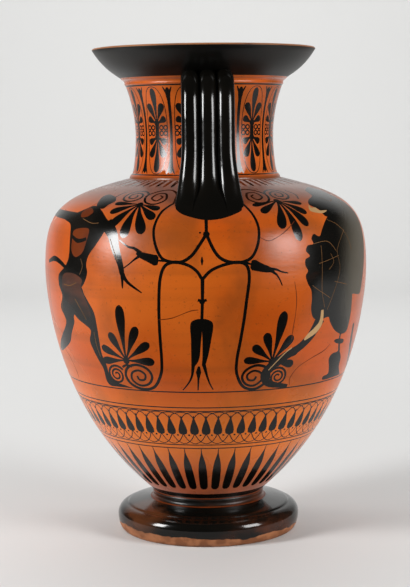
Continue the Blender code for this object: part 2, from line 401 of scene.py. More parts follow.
def smooth(places, steps, closed=False):
    """Points on a curve that passes through the places."""
    count = len(places)
    if count < 3:
        return [(places[0][0] + (places[1][0] - places[0][0]) * i / steps,
                 places[0][1] + (places[1][1] - places[0][1]) * i / steps) for i in range(steps + 1)]
    result = []
    for index in range(count if closed else count - 1):
        around = [places[(index + k) % count] if closed else places[min(max(index + k, 0), count - 1)]
                  for k in (-1, 0, 1, 2)]
        for step in range(steps):
            t = step / steps
            result.append(tuple(
                0.5 * (2 * b + (c - a) * t + (2 * a - 5 * b + 4 * c - d) * t * t
                       + (3 * b - a - 3 * c + d) * t ** 3)
                for a, b, c, d in zip(*around)))
    if not closed:
        result.append(places[-1])
    return result


def cell_of(turn, length):
    """Cell of the grid that keeps plain corners clear of the paint."""
    return int(turn * TURN_UNITS // CLEAR_OF_PAINT), int(length * LENGTH_UNITS // CLEAR_OF_PAINT)


def painted_strip(work, top, bottom, shapes):
    """A band of the wall, cut along the outlines painted on it."""
    start, end = WALL.length_of(top / 1000), WALL.length_of(bottom / 1000)
    rows = max(1, math.ceil((end - start) / ROW_STEP))
    left = math.radians(SEAM) - math.tau
    turns = [left + math.tau * i / COLUMNS for i in range(COLUMNS + 1)]
    lengths = [start + (end - start) * i / rows for i in range(rows + 1)]
    border = [(t, end) for t in turns]
    border += [(turns[-1], s) for s in lengths[-2:0:-1]]
    border += [(t, start) for t in reversed(turns)]
    border += [(left, s) for s in lengths[1:-1]]
    places = list(border)
    faces = [list(range(len(border)))]
    paints = [CLAY]
    for outline, material in shapes:
        outline_turns, outline_lengths = zip(*outline)
        if min(outline_lengths) < start - OFF_BAND or max(outline_lengths) > end + OFF_BAND:
            continue
        for lap in (-2, -1, 0, 1, 2):
            move = math.tau * lap
            if max(outline_turns) + move < left or min(outline_turns) + move > turns[-1]:
                continue
            faces.append(list(range(len(places), len(places) + len(outline))))
            places += [(turn + move, min(max(length, start), end)) for turn, length in outline]
            paints.append(material)
    taken = set()
    for place in places[len(border):]:
        column, row = cell_of(*place)
        taken.update((column + i, row + j) for i in (-1, 0, 1) for j in (-1, 0, 1))
    plain = [(turn, length) for length in lengths[1:-1] for turn in turns[1:-1]]
    places += [place for place in plain if cell_of(*place) not in taken]
    flat = [Vector((turn * TURN_UNITS, -length * LENGTH_UNITS)) for turn, length in places]
    spots, _, cells, _, _, owners = geometry.delaunay_2d_cdt(flat, [], faces, 1, CUT_TOLERANCE)
    cut = [(spot.x / TURN_UNITS, -spot.y / LENGTH_UNITS) for spot in spots]
    part = bmesh.new()
    layout = part.loops.layers.uv.new(LAYOUT)
    verts = [part.verts.new(on_wall(*place)) for place in cut]
    for cell, owner in zip(cells, owners):
        if 0 not in owner or len(set(cell)) < 3:
            continue
        face = part.faces.new([verts[i] for i in cell])
        face.material_index = paints[max(owner)]
        for loop, index in zip(face.loops, cell):
            turn, length = cut[index]
            loop[layout].uv = ((turn - left) / (math.tau), wall_row(length))
    bmesh.ops.delete(part, geom=[v for v in part.verts if not v.link_faces], context="VERTS")
    bmesh.ops.triangulate(part, faces=[f for f in part.faces if len(f.verts) > 4])
    add_part(work, part)


def handle_ornament(p):
    """Palmettes, scrolls and lotus buds below a handle; the two halves differ as drawn by hand."""
    # left half: great loop, volutes and palmette on the shoulder
    p.line([(-12.6, 285), (-14.2, 283), (-16.5, 277.9), (-17.8, 266.7), (-16.9, 255), (-14.8, 245),
        (-12, 241.6), (-8, 241.2), (-4.6, 246), (-1.9, 254.5), (0.3, 262.4)], (2, 2.2, 2.4, 2.6, 2.6))
    p.line([(-12.6, 285), (-12.9, 291.4), (-17.2, 294.4), (-22.5, 293.8), (-26.9, 290.6), (-25.2, 286),
        (-20.6, 284.4), (-16.8, 287.6), (-18.4, 291.8), (-22.3, 291.8), (-23.6, 288.8), (-20.6, 286.8),
        (-18.9, 289.4), (-20.6, 290.6)], (2.2, 2, 1.9, 1.6))
    p.scroll((-33, 289.8), (11.8, 1.8), 10, 2.15, (1.9, 1.9, 1.6))
    p.line([(-41.5, 286), (-43.4, 289.4), (-41.5, 293)], 1.4)
    for end, width in (((-39.2, 284.6), 5.4), ((-38.2, 278), 7.2), ((-35.2, 267.6), 8.2),
            ((-29, 258.9), 8.8), ((-21.9, 262.2), 8.8), ((-18.4, 273.6), 7.4), ((-17.4, 280.9), 6)):
        p.petal((-26.8, 284.4), end, width)
    p.dot((-26.8, 284.2), 3)
    # left half: lotus on its side, long tendril and lower palmette
    p.line([(-12.4, 241.8), (-14.4, 242), (-16.4, 242.4)], 1.6)
    p.line([(-15.6, 242), (-16.6, 242.4), (-19, 244.2), (-21.4, 246), (-23.4, 247.8)],
        (5.4, 8.6, 6.6, 5.2, 2))
    p.line([(-21.8, 247.6), (-24.2, 251.2), (-26.6, 252.4), (-30.2, 257.3)], (3.4, 2.2, 1.6, 1))
    p.line([(-22.4, 245.2), (-24, 242.6), (-25.6, 239.6), (-28, 235.6)], (2.6, 1.6, 1.2, 0.9))
    p.line([(-8.4, 241), (-11.2, 240.8), (-13.6, 237.4), (-15, 228), (-15.6, 212), (-15.9, 194),
        (-16, 178.3), (-16.1, 164), (-16.9, 152), (-20.2, 140.6), (-25.4, 138.2), (-30, 142), (-31.6, 149),
        (-30, 155.8), (-26, 158.4), (-22, 155.2), (-20.6, 148.8), (-22.4, 142.8), (-26, 141.2),
        (-29, 145.4), (-28.6, 151.4), (-25.7, 153.8), (-23.3, 150.6), (-23.8, 146.4), (-26, 146),
        (-26.6, 149.2)], (2.6, 2.6, 2.5, 2.4, 2.3, 2, 1.9, 1.8))
    p.scroll((-35.8, 148.6), (8.6, 1.5), 35, 2.3, (2, 1.8, 1.5))
    for end, width in (((-30.4, 206.4), 8.8), ((-24.4, 189.6), 7.6), ((-20.2, 176.6), 7),
            ((-18.9, 161.4), 7.2), ((-35.8, 183.6), 7.2), ((-40.4, 171.4), 6.8), ((-41, 159.8), 6.6)):
        p.petal((-30.2, 161.6), end, width)
    p.dot((-30.2, 161.4), 3.2)
    p.line([(-32.4, 155.6), (-30.4, 157.6), (-28.2, 156.6)], 2)
    p.line([(-9, 241), (-5.6, 238.6), (-2.9, 234), (-1.4, 228.4)], (2.6, 2.4, 2.6))
    # right half: great loop, volutes and palmette on the shoulder
    p.line([(13.6, 286), (15.2, 283.6), (17.5, 275.5), (18.4, 265.6), (17.5, 253.9), (15.4, 244.6),
        (12.4, 240.8), (8.4, 240.6), (5, 243.6), (2.6, 250.5), (0.3, 262.4)], (2, 2.2, 2.4, 2.6, 2.6))
    p.line([(13.6, 286), (14.2, 291.4), (18.6, 294.2), (24, 293.8), (28.4, 290.6), (27, 286), (22.4, 284.4),
        (18.4, 287.4), (19.8, 291.6), (24, 291.8), (25.4, 288.8), (22.4, 286.8), (20.6, 289.2),
        (22.4, 290.6)], (2.2, 2, 1.9, 1.6))
    p.scroll((34.6, 290), (11.4, 1.8), 170, -2.15, (1.9, 1.9, 1.6))
    p.line([(42.8, 286.4), (44.6, 289.6), (42.8, 293)], 1.4)
    for end, width in (((18.6, 282.8), 5), ((21, 277.4), 6.6), ((27, 264.8), 8.6), ((33.6, 254.8), 8.4),
            ((38.4, 266), 7.8), ((40.4, 275.6), 7), ((41.6, 283), 5.4)):
        p.petal((30.6, 285.8), end, width)
    p.dot((30.6, 285.6), 3)
    # right half: lotus on its side, long tendril and lower palmette
    p.line([(12.6, 240.6), (14.2, 239.2), (15.6, 238.2)], 1.6)
    p.line([(14.8, 238.6), (15.8, 238), (18, 236), (20.4, 234.4), (22.6, 233)], (5.4, 8.6, 6.8, 5.4, 2))
    p.line([(21.4, 234.4), (23.6, 233.8), (25.6, 231.8), (28, 230.6)], (3, 1.8, 1.4, 0.9))
    p.line([(21.8, 233), (23.6, 230), (24.8, 226), (25.8, 221)], (2.8, 1.8, 1.3, 0.9))
    p.line([(8.6, 240.4), (11.6, 240.2), (13.6, 237), (14.2, 228), (13.4, 212), (12.6, 195.3),
        (11.6, 178.3), (10.7, 164), (10.9, 152), (13.6, 141), (18.4, 138.2), (22.6, 143.4), (23.6, 149),
        (22.2, 155.4), (18.2, 158), (14.4, 154.6), (13, 148.6), (14.6, 142.8), (17.8, 141.2), (20.6, 145.4),
        (20.2, 151.2), (17.4, 153.6), (15, 150.6), (15.4, 146.4), (17.6, 145.8), (18.4, 148.8)],
        (2.6, 2.6, 2.5, 2.4, 2.3, 2, 1.9, 1.8))
    p.scroll((27.2, 147.2), (8.4, 1.5), 145, -2.3, (2, 1.8, 1.5))
    for end, width in (((27.2, 200.6), 8.6), ((20.8, 184), 7.4), ((16.2, 174), 7), ((13.2, 162.6), 6.4),
            ((31.4, 180.4), 7.4), ((34.6, 168), 6.8), ((33.2, 156.6), 7)):
        p.petal((24, 160.4), end, width)
    p.dot((24, 160.2), 3.2)
    p.line([(26, 154.6), (24, 156.6), (22, 155.6)], 2)
    p.line([(9, 240.4), (5.4, 238.4), (1.6, 234.4), (-0.9, 228.4)], (2.6, 2.4, 2.6))
    # slip round the handle's root, the middle line with its knots, and the hanging lotus
    p.blob([(-11.5, 283), (-9.5, 278.4), (-5, 274.9), (0.5, 272.7), (6, 273.8), (11.5, 277.4), (14, 280.9),
        (12, 287), (0.5, 289), (-9, 288)])
    p.line([(0.3, 273.6), (0.3, 262)], (2.8, 2.4))
    p.dot((0.3, 262.2), 2.7)
    p.dot((-1.8, 263.4), 0.8)
    p.line([(-1.2, 245.2), (-1.2, 242), (-1.2, 238.6)], (0.6, 2.3, 0.6))
    p.line([(-1.1, 229.6), (-1.2, 212), (-1.5, 195)], (3.2, 2.5, 2.4))
    p.line([(-2.7, 211.8), (-1.2, 211), (0.2, 211.8)], 2.2)
    p.dot((-1.3, 210.4), 2.3)
    p.blob([(-1.5, 196.4), (-4.4, 195.6), (-5.4, 191.6), (-5.3, 180), (-5.4, 168), (-5.4, 159.8),
        (-4.3, 158.6), (-2.6, 165), (-1.9, 178), (-1.5, 187)])
    p.blob([(-1.5, 187), (-1.4, 178), (-1.5, 166), (-1.7, 158.8), (-0.5, 159.8), (0.6, 168), (1.6, 180),
        (2.3, 191.6), (1.2, 195.6), (-1.5, 196.4)])
    p.line([(-4.8, 160.6), (-5.4, 151), (-6.9, 144.4), (-9.2, 138.6)], (3.2, 1.8, 1.3, 0.9))
    p.line([(-2.8, 158.6), (-3, 153.6), (-3.1, 148.4), (-3.4, 138.6)], (1.4, 4.2, 1.8, 0.9))
    p.line([(-1.1, 160.6), (0, 151), (1, 144.4), (2.3, 139)], (3.2, 1.8, 1.3, 0.9))


def wrestler(p):
    """A striding figure who leans in and reaches down, made up for this pot."""
    p.blob([(-43.5, 279.5), (-38, 273.1), (-36, 269.8), (-37.5, 261.3), (-40, 252.6), (-43, 244.1),
        (-44, 236.8), (-43.5, 230.2), (-45, 222.3), (-47.5, 217.1), (-53, 211.6), (-59.5, 212.5),
        (-61.5, 219.3), (-61, 226.5), (-56.5, 233.4), (-54, 241.6), (-54.5, 255.9), (-57, 267.3),
        (-63.5, 270.9), (-57.5, 275.9), (-53, 279.7), (-49.5, 282.3)])
    p.blob([(-61.5, 220), (-59.5, 209.1), (-62, 199), (-59.5, 189.6), (-62.5, 180.8), (-75.5, 161.9),
        (-71, 160.7), (-60.5, 169.6), (-57, 178.5), (-53.5, 188.2), (-53, 194.1), (-49.5, 200.5),
        (-46.5, 217.9), (-54, 220.7)])
    p.blob([(-47.5, 218.7), (-45.5, 212.5), (-43.5, 206.1), (-41.5, 198.5), (-41, 187.6), (-41, 176),
        (-41, 164.4), (-40, 157.1), (-39.5, 147.4), (-37.5, 142.8), (-33, 140.1), (-29.5, 138.3),
        (-33, 138.3), (-37, 138.3), (-40.5, 138.5), (-42, 142.6), (-42, 152.2), (-43.5, 159.2),
        (-45, 166.9), (-46, 175.1), (-44.5, 183.5), (-47, 187.8), (-51, 192.3), (-53.5, 198.7),
        (-54.5, 209.2)])
    p.blob([(-47.5, 281.5), (-50.5, 285.8), (-52.5, 289.4), (-50, 290.7), (-43.5, 289), (-40.5, 286.6),
        (-41, 284.7), (-42, 283.1), (-43, 280.3)])
    p.line([(-55, 273), (-66, 274), (-83, 274.3), (-86.5, 272.7)], (9, 8, 7, 6))
    p.line([(-37.5, 269.9), (-33.5, 261.9), (-31.5, 250.8), (-29.5, 239.9), (-28.5, 230.5)],
        (11, 9.5, 7.6, 5.4, 4.2))
    p.line([(-28.5, 231.5), (-26.5, 224.7), (-21.5, 216.9)], (4, 2.6, 1))
    p.line([(-28.5, 231), (-28.5, 225.1), (-28.5, 219.8)], (3.8, 2.2, 1))
    p.line([(-72, 235), (-65.5, 238.6), (-60.5, 237), (-55.5, 232.4)], (2.5, 4.5, 4, 3))
    p.line([(-72, 229), (-73, 214), (-74, 196), (-73, 180)], 0.8)
    p.blob([(-53, 263.1), (-47.5, 265.3), (-44.5, 263.6), (-45, 253.1), (-46.5, 245.6), (-50, 242.1),
        (-52.5, 246.8), (-53, 256.3)], RED)
    p.blob([(-53, 278.9), (-50.5, 280.7), (-47, 277.7), (-48.5, 274.2), (-52, 273.3), (-53.5, 276.2)], RED)
    p.line([(-54, 259), (-49.5, 255), (-45, 257)], (2, 3.6, 2.6))
    p.blob([(-58, 226), (-52, 229), (-46.5, 225), (-47, 217), (-44.5, 206), (-43.5, 196), (-48, 192),
        (-53, 200), (-58.5, 210)], THIN)
    for spots in ([(-47, 241.2), (-46, 235), (-47.5, 228.3)], [(-49.5, 221.6), (-53.5, 218.6),
            (-57.5, 219.1)], [(-51, 208.3), (-48, 199.2), (-46, 192.3)], [(-43, 182.8), (-42.8, 170.6),
            (-42, 162.4)], [(-50.5, 272.3), (-44.5, 269.3), (-41, 269.7)], [(-60, 206), (-60.6, 196),
            (-59, 188)], [(-34, 258), (-32, 249), (-30.5, 241)]):
        p.line(spots, 0.5, SCRATCH)


def robed_fighter(p):
    """A heavy robed figure who braces one leg, made up for this pot."""
    p.blob([(50.5, 272.3), (45, 263.7), (42.5, 257.5), (40, 259.6), (38.5, 256.1), (39, 251.9), (36.5, 251),
        (35.5, 246.8), (37, 242.7), (35, 240.1), (35, 235.2), (36, 231.2), (35, 227), (36, 220.9),
        (37.5, 215.5), (38, 208.2), (38, 200.1), (39.5, 192.9), (43, 190.7), (47, 192.3), (48.5, 187.6),
        (52, 180.3), (57, 175.8), (61.5, 176.9), (62.5, 184.8), (62.5, 194.7), (62, 204.8), (62.5, 207.6),
        (70, 206.4), (72, 219.3), (75, 236), (78, 254), (80, 272), (76, 284), (66, 284)])
    p.blob([(45, 281.7), (48, 285.3), (54.5, 288), (57.5, 291.9), (69, 293.8), (75, 291.5), (74.5, 287.8),
        (75, 283.2), (61, 274.2), (50, 271.8), (48, 277.7)])
    p.line([(43, 191.9), (41, 184.1), (38.5, 176.7), (34.5, 169.6), (29.5, 164.2), (25.5, 158.6)],
        (11, 9, 7.4, 6.8, 7.4, 8.4))
    p.line([(25.5, 159.7), (22.5, 152.7), (22, 147.1), (24.5, 141.5), (32.5, 138.3)], (8, 8, 7.6, 6, 3))
    p.blob([(57, 160.7), (59, 161.4), (62.5, 154.3), (63.5, 146.3), (68.5, 138.3), (71, 138.3),
        (60.5, 138.3), (52.5, 138.3), (52, 141.5), (55, 143.1), (54, 149.3), (52.5, 155.6), (53.5, 159.7)])
    p.blob([(53.5, 171.8), (56.5, 172), (60.5, 170.3), (60.5, 167.4), (57.5, 167.4), (54, 169.4)])
    p.line([(57, 176.5), (57, 171), (59, 160.4)], (2.6, 2.2, 3.4))
    p.line([(68, 181.7), (70, 165.7), (75.5, 148.7), (81, 138.3)], (4, 6, 5, 3))
    p.blob([(45, 281.8), (44.5, 279.4), (47, 279.4), (48, 277), (52.5, 276.7), (49, 274.8), (45.5, 275.4),
        (43, 276.9), (43, 279)], WHITE)
    p.line([(43.5, 198.7), (43.5, 189.2), (41.5, 183.2), (38.5, 179), (36.5, 175.8)],
        (2.8, 4.2, 5.4, 4.2, 1.6), WHITE)
    p.line([(31.5, 170.3), (28.5, 165.7), (23, 153.2)], (0.9, 0.9, 0.7), WHITE)
    for spots in ([(42.5, 250.2), (42.5, 234.5), (42.5, 215.3), (44.5, 200.5)], [(70, 282), (74, 262),
            (71, 240), (68, 212)], [(76, 278), (78, 262), (75, 244), (71, 226)], [(57.5, 261), (51, 246),
            (52, 229.8), (48, 207.9), (46, 198.5)], [(39, 251.9), (46, 253), (50.5, 244.3)], [(41, 236.1),
            (46, 238.4), (51.5, 241)], [(49, 220.6), (57, 216.6)], [(47, 207.7), (41, 215), (38, 219.3)],
            [(49, 269.8), (54, 265.2), (58.5, 255.9), (60.5, 244.3)], [(47, 243.3), (48.5, 236.6),
            (46, 230.7)], [(57, 286), (62, 283), (67, 285)]):
        p.line(spots, 0.32, SCRATCH)


def cracks(p):
    """Old breaks that were joined again, seen as brown hairlines."""
    for spots in ([(18.5, 258.9), (21.5, 256.1), (25.5, 259.4), (29, 264), (33, 270.2)], [(30.5, 223.5),
            (31.5, 210.7), (31.5, 197.9), (31, 185.2), (31, 177.2)], [(33.5, 139), (33, 145), (36, 153.7),
            (42, 159.9), (48, 164.4), (51, 169.1)], [(-16.5, 195.8), (-11.5, 197.4), (-5.5, 202.9),
            (-2.5, 204)], [(-67.5, 162.9), (-64, 156.1), (-62, 145.5), (-62.5, 139)]):
        p.line(spots, (0.4, 0.8, 0.5, 0.9, 0.4), RED)


def onlooker(p):
    """A wrapped onlooker between two fighters, made up for this pot."""
    p.blob([(0, 268), (5.4, 264), (7.4, 250), (8, 220), (8.6, 190), (9.4, 150), (5, 148), (0, 149.4),
        (-5, 148), (-9.4, 150), (-8.6, 190), (-8, 220), (-7.4, 250), (-5.4, 264)])
    p.blob([(-1.6, 266), (1.6, 266), (3.6, 272), (3.6, 277), (1.2, 281.4), (-2, 281), (-4.2, 276),
        (-3.4, 270)])
    p.line([(-4.4, 150), (-4.6, 143), (-4.6, 140)], (4, 3.4, 3))
    p.line([(4.4, 150), (4.6, 143), (4.6, 140)], (4, 3.4, 3))
    p.line([(-6.6, 139.6), (-4, 139.4), (-1.4, 138.2)], (2.4, 3.6, 1.6))
    p.line([(2.6, 139.6), (5, 139.4), (7.8, 138.2)], (2.4, 3.6, 1.6))
    p.blob([(-7.4, 244), (-3, 256), (2, 262), (4.6, 262), (0, 250), (-5, 232), (-7.8, 222)], RED)
    for low in (-5.4, -2, 1.6, 5.2):
        p.line([(low * 0.5, 240), (low * 0.9, 200), (low, 153)], 0.5, SCRATCH)


def picture_zone():
    """Both handle ornaments, both pictures and the tongues below the neck."""
    p = Painting()
    for index in range(TONGUE_COUNT):
        p.facing(index * 360 / TONGUE_COUNT)
        p.line([(0, 301), (0, 298.6), (0, 296.4)], (3, 3.4, 3, 0.8), RED if index % 2 else BLACK)
    for turn in (0, 180):
        handle_ornament(p.facing(turn))
    wrestler(p.facing(0))
    wrestler(p.facing(180, -1))
    onlooker(p.facing(90))
    robed_fighter(p.facing(0))
    robed_fighter(p.facing(180, -1))
    cracks(p.facing(0))
    return p.shapes


def mirrored_level(flip):
    """A function for heights on the neck, upside down about its middle where flip is -1."""
    return lambda height: NECK_MIDDLE + flip * (height - NECK_MIDDLE)


def neck_zone():
    """Palmettes standing foot to foot in long ovals, with a column between one oval and the next."""
    p = Painting()
    for index in range(NECK_COUNT):
        p.facing(NECK_START + 360 * index / NECK_COUNT)
        for level in (mirrored_level(1), mirrored_level(-1)):
            p.line([(0, level(NECK_MIDDLE)), (0, level(360)), (0, level(372))], (2.4, 2.8, 3.2))
            p.line([(0, level(364)), (0, level(369)), (0, level(373)), (0, level(376.4))], (2.4, 4, 5.2, 1.4))
            for side in (-1, 1):
                p.line([(0.6 * side, level(370.5)), (2.2 * side, level(374)), (3.6 * side, level(377))],
                       (2, 1.8, 0.8))
        p.facing(NECK_START + 360 * (index + 0.5) / NECK_COUNT)
        oval = []
        for step in range(49):
            angle = math.tau * step / 48
            across, up = math.cos(angle), math.sin(angle)
            oval.append(p.place((10.4 * math.copysign(abs(across) ** 0.8, across),
                                 NECK_MIDDLE + 35.4 * math.copysign(abs(up) ** 0.8, up))))
        p.stroke(oval, 0.7, BLACK)
        for level in (mirrored_level(1), mirrored_level(-1)):
            p.petal((0, level(348)), (0, level(376)), 6.2)
            for side in (-1, 1):
                p.petal((0, level(347.6)), (7.3 * side, level(363.6)), 6)
                p.petal((0, level(347)), (9.1 * side, level(351.8)), 5.6)
            p.dot((0, level(347.6)), 2.8)
            for spot in (-8.6, -4.5, 4.5, 8.6):
                p.scroll((spot, level(344)), (1.75, 1.75), 0, 1, 1.15)
            p.line([(0, level(347.6)), (0, level(341))], 4)
    return p.shapes


def chain_zone():
    """Hanging lotus buds linked above and below by crossing arcs."""
    p = Painting()
    step = 360 / CHAIN_COUNT
    for index in range(CHAIN_COUNT):
        p.facing(index * step + CHAIN_START)
        p.line([(0, 116.4), (0, 113.6), (0, 110.6), (0, 107.2), (0, 103.6), (0, 100.8), (0, 99.6)],
               (0.7, 1.5, 3.4, 5.6, 7.2, 6.4, 2.8), BLACK, 3)
        p.line([(0, 113.8), (step * 0.34, 117.8), (step, 119.5), (step * 1.66, 117.8), (step * 2, 113.8)], 0.8)
        p.line([(0, 100.2), (step * 0.4, 94), (step, 91.2), (step * 1.6, 94), (step * 2, 100.2)], 0.8)
        p.dot((step * 0.5, 99), 0.9)
    return p.shapes


def ray_zone():
    """Upright rays round the foot of the body."""
    p = Painting()
    for index in range(RAY_COUNT):
        p.facing(index * 360 / RAY_COUNT + RAY_START)
        p.line([(0, 86.2), (0, 80), (0, 73), (0, 64), (0, 55), (0, 48), (0, 45)],
               (0.5, 1, 3.6, 6, 6.9, 7.1, 6.8, 6, 2.2), BLACK, 3)
    return p.shapes


def offset_inward(points, distance):
    """The same line moved into the clay."""
    moved = []
    for index, (radius, height) in enumerate(points):
        before = points[max(index - 1, 0)]
        after = points[min(index + 1, len(points) - 1)]
        run = Vector((after[0] - before[0], after[1] - before[1])).normalized()
        moved.append((radius + run.y * distance, height - run.x * distance))
    return moved


def inside_line(wall):
    """The hollow, from the rim's inner edge down to the middle of the floor."""
    mouth = offset_inward(bezier(MOUTH_LINE, INSIDE_MOUTH), wall)
    heights = [NECK_TOP + (SHOULDER_TOP - NECK_TOP) * i / INSIDE_NECK for i in range(INSIDE_NECK + 1)]
    neck = offset_inward([(neck_radius(h), h) for h in heights], wall)
    shoulder = offset_inward(bezier(SHOULDER_LINE, INSIDE_SHOULDER), wall)
    lower = offset_inward(bezier(LOWER_LINE, INSIDE_LOWER), wall)
    line = mouth[:-1] + neck + shoulder + lower[1:]
    clean = [(line[0][0], RIM_LEVEL - RIM_INNER_ROUND)]
    for spot in line:
        if spot[1] < clean[-1][1] - LEAST_DROP:
            clean.append(spot)
    radius, height = clean[-1]
    return clean + [(out * radius, FLOOR_TOP + up * (height - FLOOR_TOP)) for out, up in FLOOR_CURVE]


def quarter(centre, first, second, steps, start=1):
    """Points on a quarter of an ellipse, from the end of one half axis to the end of the other."""
    turns = [0.5 * math.pi * i / steps for i in range(start, steps + 1)]
    return [tuple(c + a * math.cos(t) + b * math.sin(t) for c, a, b in zip(centre, first, second))
            for t in turns]


def rim_line(wall):
    """Flat top of the mouth with its rounded edges, from outside to inside."""
    outer, inner = MOUTH_LINE[0][0], inside_line(wall)[0][0]
    points = quarter((outer - RIM_OUTER_ROUND, RIM_LEVEL - RIM_OUTER_ROUND), (RIM_OUTER_ROUND, 0),
                     (0, RIM_OUTER_ROUND), 4, 0)
    return points + quarter((inner + RIM_INNER_ROUND, RIM_LEVEL - RIM_INNER_ROUND), (0, RIM_INNER_ROUND),
                            (-RIM_INNER_ROUND, 0), 4, 0)


def foot_line():
    """Collar, top of the foot with its step, rounded edge, standing ring and recess."""
    return [
        (0.0467, COLLAR_TOP), (0.0474, 0.0339), (0.0479, 0.0331), (0.0476, 0.0322), (0.0472, 0.0305),
        (0.0472, 0.0294), (0.0477, 0.0286), (0.0484, 0.0279), (0.0499, 0.0273), (0.0520, 0.0268),
        (0.0600, 0.0254), (0.0670, 0.0240), (0.0684, 0.0236), (0.0690, 0.0230), (0.0694, 0.0225),
        *quarter((0.0690, 0.0132), (0, 0.0093), (0.0090, 0), 8),
        *quarter((0.0722, 0.0132), (0.0058, 0), (0, -0.0132), 8),
        (0.0626, 0.0),
        *quarter((0.0260, 0), (0.0362, 0), (0, 0.0230), 9),
        (0.0, 0.0230),
    ]


# Handles: path of the middle reed as (distance from the axis, height), spacing of the reeds, size of the root
ARCH = ((0.0600, 0.3770), (0.0808, 0.3870), (0.0975, 0.3870), (0.0975, 0.3490))
LEG = ((0.0975, 0.3490), (0.0975, 0.3060), (0.0985, 0.2900), (0.1168, 0.2765))
REED_PITCH = 0.0139
ROOT_HALF_WIDTH = 0.0304
ROOT_HALF_LENGTH = 0.0140
ROOT_MIDDLE = 0.1158
SUNK = 0.0010
FRONT_TURN = 1.8

# Levels where a handle begins to sink, to widen and to melt into one root, and how sharply it does
FLARE_TOP = 0.3120
WIDEN_TOP = 0.3300
MELT_TOP = 0.3010
MELT_END = 0.2830
SINK_POWER = 2.4
WIDEN_POWER = 1.8

# Rings along half a handle, rings held against the neck, and points round an outer and a middle reed
HANDLE_RINGS = 40
NECK_RINGS = 8
OUTER_REED_POINTS = 28
MIDDLE_REED_POINTS = 14


def share_between(start, end, value):
    """How far a value is from start to end, held between nought and one."""
    return min(1.0, max(0.0, (value - start) / (end - start)))


def ease(share):
    """Nought to one with soft ends."""
    return share * share * (3.0 - 2.0 * share)


def handle_section(reed):
    """Outline of three reeds side by side, as (across, outward) in metres."""
    meet = math.acos(0.5 * REED_PITCH / reed)
    outline = []
    for middle, start, end, count in ((REED_PITCH, meet - math.pi, math.pi - meet, OUTER_REED_POINTS),
                                      (0.0, meet, math.pi - meet, MIDDLE_REED_POINTS),
                                      (-REED_PITCH, meet, math.tau - meet, OUTER_REED_POINTS),
                                      (0.0, math.pi + meet, math.tau - meet, MIDDLE_REED_POINTS)):
        for index in range(count):
            angle = start + (end - start) * index / count
            outline.append((middle + reed * math.cos(angle), reed * math.sin(angle)))
    return outline


def shoulder_height(radius):
    """Height of the shoulder's outside at a distance from the axis."""
    upper = [corner for corner in WALL.corners[BELOW_MOUTH:] if corner[1] > WIDEST_LEVEL]
    return min(upper, key=lambda corner: abs(corner[0] - radius))[1]


def handle_rings(reed):
    """Cross sections of a handle from the neck to the shoulder; it widens and sits down on the shoulder."""
    section = handle_section(reed)
    half_width = REED_PITCH + reed
    path = bezier(ARCH, HANDLE_RINGS)[:-1] + bezier(LEG, HANDLE_RINGS)
    last = len(path) - 1
    rings = []
    for index, (reach, height) in enumerate(path):
        before, after = path[max(index - 1, 0)], path[min(index + 1, last)]
        run = Vector((after[0] - before[0], after[1] - before[1])).normalized()
        out = Vector((-run.y, run.x))
        sink = share_between(FLARE_TOP, path[last][1], height) ** SINK_POWER
        widen = share_between(WIDEN_TOP, path[last][1], height) ** WIDEN_POWER
        widen = 1.0 + (ROOT_HALF_WIDTH / half_width - 1.0) * widen
        melt = ease(share_between(MELT_TOP, MELT_END, height))
        ring = []
        for across, outward in section:
            angle = math.atan2(outward / reed, across / half_width)
            x = (across + (half_width * math.cos(angle) - across) * melt) * widen
            lift = outward + (reed * math.sin(angle) - outward) * melt
            spot = Vector((x, reach + out.x * lift, height + out.y * lift))
            foot_x = ROOT_HALF_WIDTH * math.cos(angle)
            foot_y = ROOT_MIDDLE + ROOT_HALF_LENGTH * math.sin(angle)
            foot = Vector((foot_x, foot_y, shoulder_height(math.hypot(foot_x, foot_y)) - SUNK))
            spot = Vector((x, *spot.lerp(foot, sink).yz))
            if index < NECK_RINGS:
                wall = math.sqrt((neck_radius(spot.z) - SUNK) ** 2 - spot.x ** 2)
                spot.y = wall if index == 0 else max(wall, spot.y)
            ring.append(spot)
        rings.append(ring)
    return rings


def handle(work, side, reed):
    """One handle: a skin over its rings, closed at both ends inside the wall."""
    part = bmesh.new()
    layout = part.loops.layers.uv.new(LAYOUT)
    turn = Matrix.Rotation(math.radians(FRONT_TURN if side < 0 else 0.0), 3, "Z")
    loops = [[part.verts.new(turn @ Vector((spot.x, side * spot.y, spot.z))) for spot in ring]
             for ring in handle_rings(reed)]
    start = HANDLE_STARTS[side]
    low, high = HANDLE_ROWS
    count = len(loops[0])

    def add_face(corners, places):
        face = part.faces.new(corners)
        face.material_index = GLOSS
        for loop, (along, around) in zip(face.loops, places):
            loop[layout].uv = (along, low + (high - low) * around / count)

    for row, (first, second) in enumerate(zip(loops, loops[1:])):
        here, there = (start + HANDLE_SPAN * (row + step) / (len(loops) - 1) for step in (0, 1))
        for index in range(count):
            after = (index + 1) % count
            add_face((first[index], first[after], second[after], second[index]),
                     ((here, index), (here, index + 1), (there, index + 1), (there, index)))
    for loop, edge, centre in ((loops[0], start, start - HUB_SPAN),
                               (loops[-1], start + HANDLE_SPAN, start + HANDLE_SPAN + HUB_SPAN)):
        middle = sum((v.co for v in loop), Vector()) / count
        if loop is loops[-1]:
            middle.z = shoulder_height(math.hypot(middle.x, middle.y)) - SUNK
        hub = part.verts.new(middle)
        for index in range(count):
            add_face((loop[index], loop[(index + 1) % count], hub),
                     ((edge, index), (edge, index + 1), (centre, index + 0.5)))
    bmesh.ops.recalc_face_normals(part, faces=part.faces)
    add_part(work, part)


